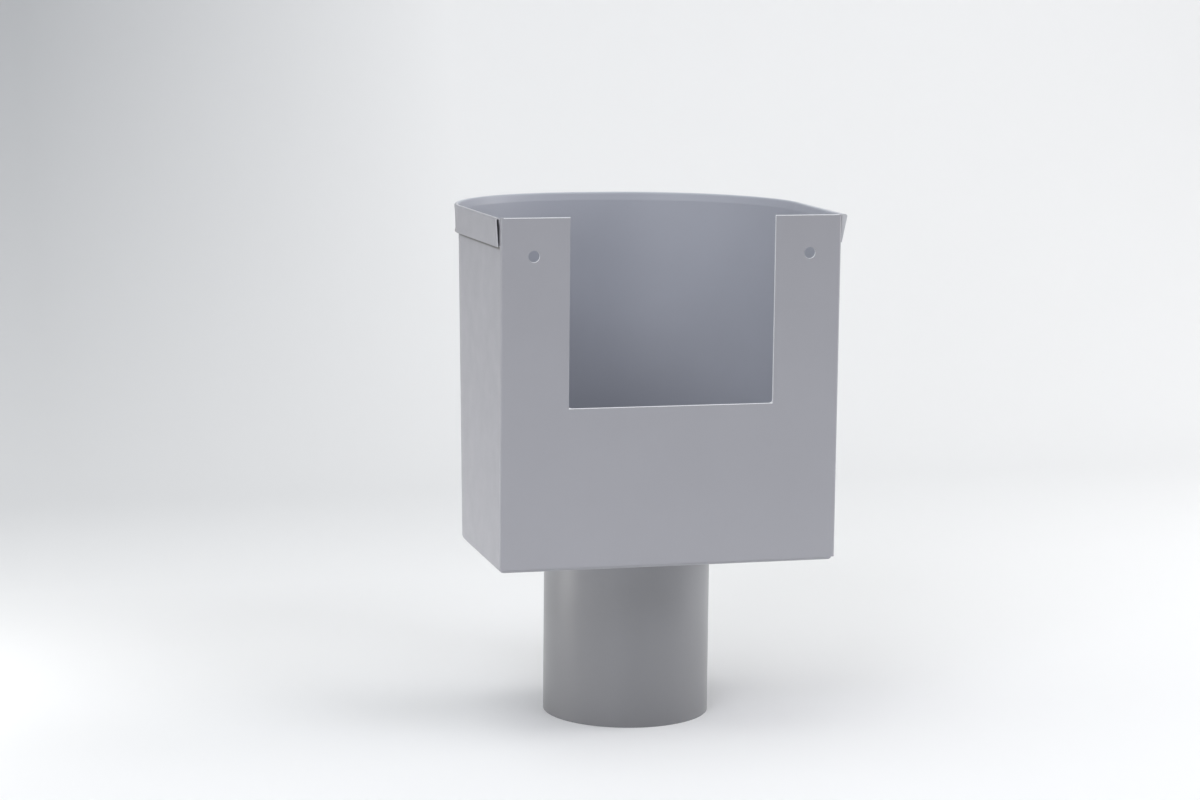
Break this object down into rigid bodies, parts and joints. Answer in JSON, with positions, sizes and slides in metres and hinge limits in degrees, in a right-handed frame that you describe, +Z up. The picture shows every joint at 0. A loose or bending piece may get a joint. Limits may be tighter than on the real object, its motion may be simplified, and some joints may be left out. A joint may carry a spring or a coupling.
{
  "type": "downpipe hopper head",
  "caption": "D-shaped sheet-metal rainwater hopper head with a flat notched back, a rolled open hem round its bowed front and a round outlet spigot below.",
  "frame": {"origin": "centre of the outlet spigot's lower end, on which the hopper head stands", "axes": "+Z up along the outlet's axis, +Y towards the wall with the flat back panel, -Y towards the bowed front, X along the wall"},
  "size_m": [0.2108, 0.1896, 0.3075],
  "materials": {
    "coated_sheet": "satin light grey pre-coated sheet",
    "coated_tube": "satin grey coated tube"
  },
  "bodies": {
    "root": {"hopper_body": "coated_sheet", "bottom_pan": "coated_sheet", "outlet_spigot": "coated_tube"}
  },
  "joints": []
}
